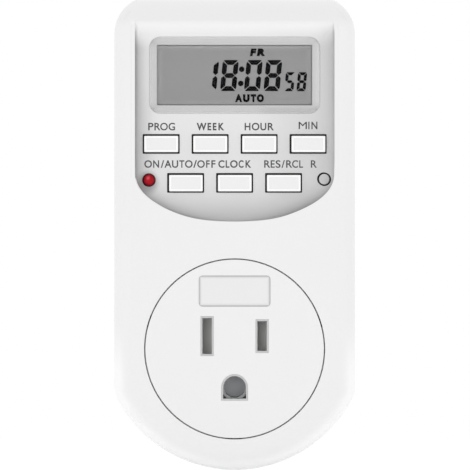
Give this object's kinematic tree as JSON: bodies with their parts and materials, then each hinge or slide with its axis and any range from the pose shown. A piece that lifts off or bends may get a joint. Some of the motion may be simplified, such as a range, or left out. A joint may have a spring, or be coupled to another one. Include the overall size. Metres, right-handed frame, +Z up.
{
  "type": "plug-in timer",
  "caption": "Plug-in outlet timer with a display and push keys in a sunken panel, a round grounded outlet face with a sliding shutter, and a grounded plug on its flat back.",
  "frame": {"origin": "on the flat rear face, midway between the two blades, where the timer meets the wall outlet", "axes": "+Y into the wall along the blades, +Z up along the case as it hangs on the outlet, +X to the right seen from the front"},
  "size_m": [0.0558, 0.0566, 0.1098],
  "materials": {
    "case_white": "fine satin moulded white",
    "face_white": "satin moulded white",
    "plate_white": "smooth blank insert",
    "key_white": "satin, softly rounded",
    "panel_grey": "satin grey",
    "lens_clear": "polished clear plastic",
    "mask_grey": "printed grey border",
    "display_glass": "grey liquid crystal cell",
    "reflector_film": "brushed foil",
    "strip_rubber": "layered conductive rubber",
    "frame_black": "moulded black",
    "keypad_rubber": "translucent silicone",
    "lamp_red": "clear-edged red epoxy",
    "board_green": "solder mask over glass fibre",
    "resin_black": "cast drop of resin",
    "cell_steel": "nickel-plated can",
    "tab_nickel": "thin welded strip",
    "connector_white": "natural nylon",
    "ribbon_grey": "flat ribbon",
    "shutter_grey": "low-friction grey",
    "spring_steel": "drawn spring wire",
    "block_grey": "heat-resisting grey moulding",
    "contact_brass": "stamped and folded",
    "blade_metal": "nickel-plated brass",
    "wire_black": "insulated",
    "wire_white": "insulated",
    "relay_blue": "potted case",
    "capacitor_yellow": "film capacitor case",
    "can_sleeve": "shrunk sleeve",
    "varistor_blue": "dipped disc",
    "resistor_grey": "lacquered body",
    "diode_black": "moulded body",
    "fuse_brown": "moulded body",
    "screw_steel": "zinc-plated",
    "label_silver": "blank foil label"
  },
  "bodies": {
    "case": {"front_shell": "case_white", "rear_shell": "case_white", "rear_label": "label_silver", "outlet_face": "face_white", "outlet_plate": "plate_white", "display_window": "lens_clear", "window_mask": "mask_grey", "display_cell": "display_glass", "display_reflector": "reflector_film", "contact_strips": "strip_rubber", "display_frame": "frame_black", "keypad": "keypad_rubber", "indicator_lamp": "lamp_red", "control_board": "board_green", "controller_chip": "resin_black", "backup_cell": "cell_steel", "cell_tabs": "tab_nickel", "crystal": "cell_steel", "board_connectors": "connector_white", "ribbon_cable": "ribbon_grey", "shutter_spring": "spring_steel", "contact_block": "block_grey", "block_cover": "block_grey", "line_contact": "contact_brass", "neutral_contact": "contact_brass", "earth_contact": "contact_brass", "line_blade": "blade_metal", "neutral_blade": "blade_metal", "earth_pin": "blade_metal", "blade_retainer": "block_grey", "line_wires": "wire_black", "neutral_wires": "wire_white", "power_board": "board_green", "relay": "relay_blue", "mains_capacitor": "capacitor_yellow", "smoothing_capacitor": "can_sleeve", "varistor": "varistor_blue", "resistor": "resistor_grey", "fuse": "fuse_brown", "diodes": "diode_black", "transistor": "diode_black", "case_screws": "screw_steel", "control_screws": "screw_steel", "power_screws": "screw_steel", "block_screws": "screw_steel", "retainer_screws": "screw_steel"},
    "key_program_body": {"key_program": "key_white"},
    "key_week_body": {"key_week": "key_white"},
    "key_hour_body": {"key_hour": "key_white"},
    "key_minute_body": {"key_minute": "key_white"},
    "key_mode_body": {"key_mode": "key_white"},
    "key_clock_body": {"key_clock": "key_white"},
    "key_recall_body": {"key_recall": "key_white"},
    "reset_button_body": {"reset_button": "panel_grey"},
    "shutter_body": {"shutter": "shutter_grey"}
  },
  "joints": [
    {"name": "key_program_press", "type": "slide", "parent": "case", "child": "key_program_body", "axis": [0, 1, 0], "range_m": [0, 0.0007], "stiffness_N_per_m": 400, "springref_m": -0.0005, "deforming": ["keypad"]},
    {"name": "key_week_press", "type": "slide", "parent": "case", "child": "key_week_body", "axis": [0, 1, 0], "range_m": [0, 0.0007], "stiffness_N_per_m": 400, "springref_m": -0.0005, "deforming": ["keypad"]},
    {"name": "key_hour_press", "type": "slide", "parent": "case", "child": "key_hour_body", "axis": [0, 1, 0], "range_m": [0, 0.0007], "stiffness_N_per_m": 400, "springref_m": -0.0005, "deforming": ["keypad"]},
    {"name": "key_minute_press", "type": "slide", "parent": "case", "child": "key_minute_body", "axis": [0, 1, 0], "range_m": [0, 0.0007], "stiffness_N_per_m": 400, "springref_m": -0.0005, "deforming": ["keypad"]},
    {"name": "key_mode_press", "type": "slide", "parent": "case", "child": "key_mode_body", "axis": [0, 1, 0], "range_m": [0, 0.0007], "stiffness_N_per_m": 400, "springref_m": -0.0005, "deforming": ["keypad"]},
    {"name": "key_clock_press", "type": "slide", "parent": "case", "child": "key_clock_body", "axis": [0, 1, 0], "range_m": [0, 0.0007], "stiffness_N_per_m": 400, "springref_m": -0.0005, "deforming": ["keypad"]},
    {"name": "key_recall_press", "type": "slide", "parent": "case", "child": "key_recall_body", "axis": [0, 1, 0], "range_m": [0, 0.0007], "stiffness_N_per_m": 400, "springref_m": -0.0005, "deforming": ["keypad"]},
    {"name": "reset_button_press", "type": "slide", "parent": "case", "child": "reset_button_body", "axis": [0, 1, 0], "range_m": [0, 0.0007], "stiffness_N_per_m": 400, "springref_m": -0.0005, "deforming": ["keypad"]},
    {"name": "shutter_slide", "type": "slide", "parent": "case", "child": "shutter_body", "axis": [1, 0, 0], "range_m": [0, 0.0032], "stiffness_N_per_m": 150, "springref_m": -0.002, "deforming": ["shutter_spring"]}
  ]
}
